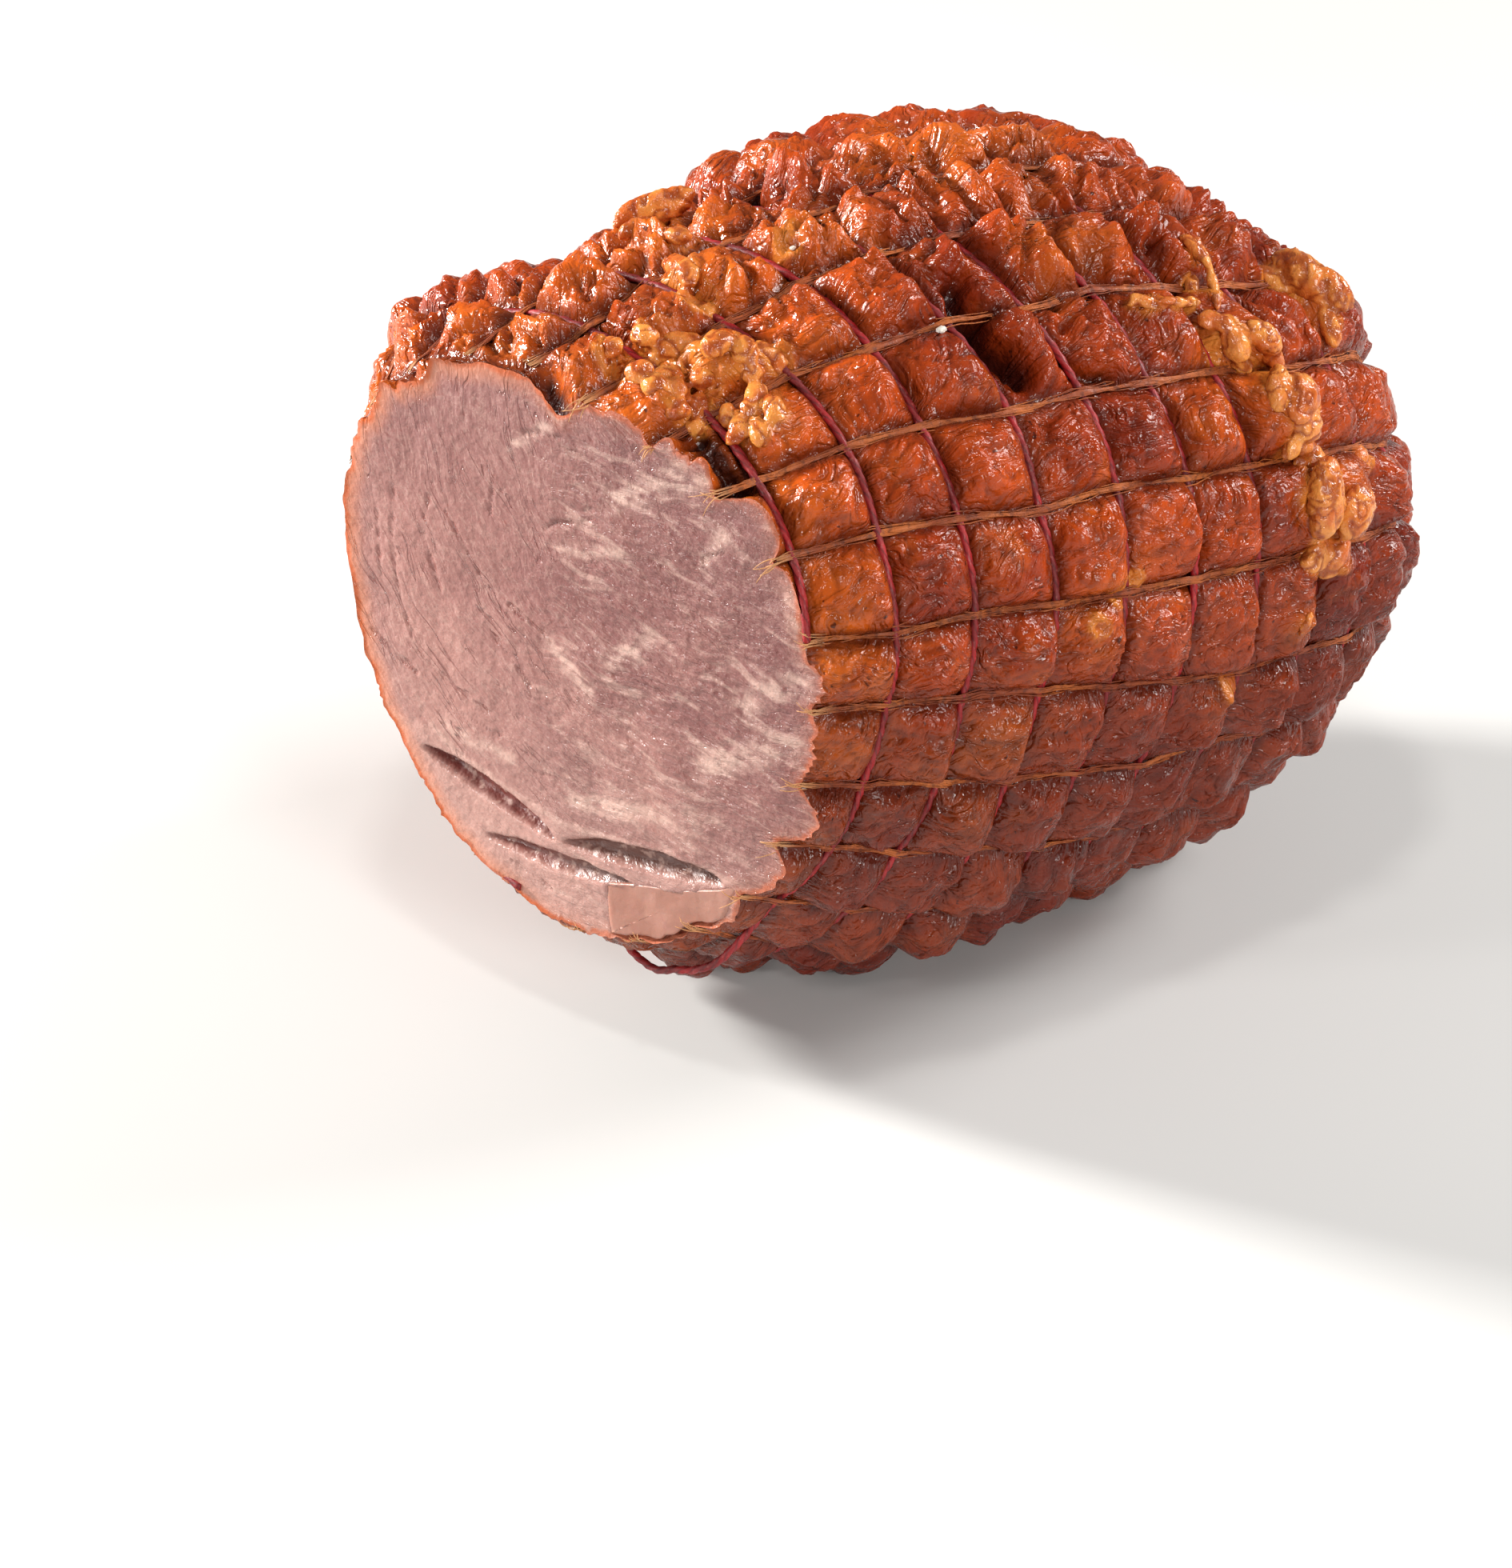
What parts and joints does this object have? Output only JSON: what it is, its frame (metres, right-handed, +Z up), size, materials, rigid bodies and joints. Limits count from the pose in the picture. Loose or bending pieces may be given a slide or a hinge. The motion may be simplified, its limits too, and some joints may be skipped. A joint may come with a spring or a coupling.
{
  "type": "cooked ham",
  "caption": "Cooked smoked ham in an elastic net, with one end sliced flat to show the pink meat and a fat wedge.",
  "frame": {"origin": "centre of the bounding box on the table plane, under the ham", "axes": "+X runs along the ham from the cut face to the tied end, -Y is the smoother side with the clearest net, +Z is up"},
  "size_m": [0.2348, 0.2106, 0.2013],
  "materials": {
    "skin_and_meat": "glossy smoked meat",
    "fat": "satin fat",
    "elastic": "matt twisted elastic",
    "cotton": "smoked cotton"
  },
  "bodies": {
    "root": {"ham_meat": "skin_and_meat", "fat_wedge": "fat", "elastic_01": "elastic", "elastic_02": "elastic", "elastic_03": "elastic", "elastic_04": "elastic", "elastic_05": "elastic", "elastic_06": "elastic", "elastic_07": "elastic", "elastic_08": "elastic", "elastic_09": "elastic", "elastic_10": "elastic", "elastic_11": "elastic", "elastic_12": "elastic", "elastic_13": "elastic", "elastic_14": "elastic", "net_strands": "cotton"}
  },
  "joints": []
}
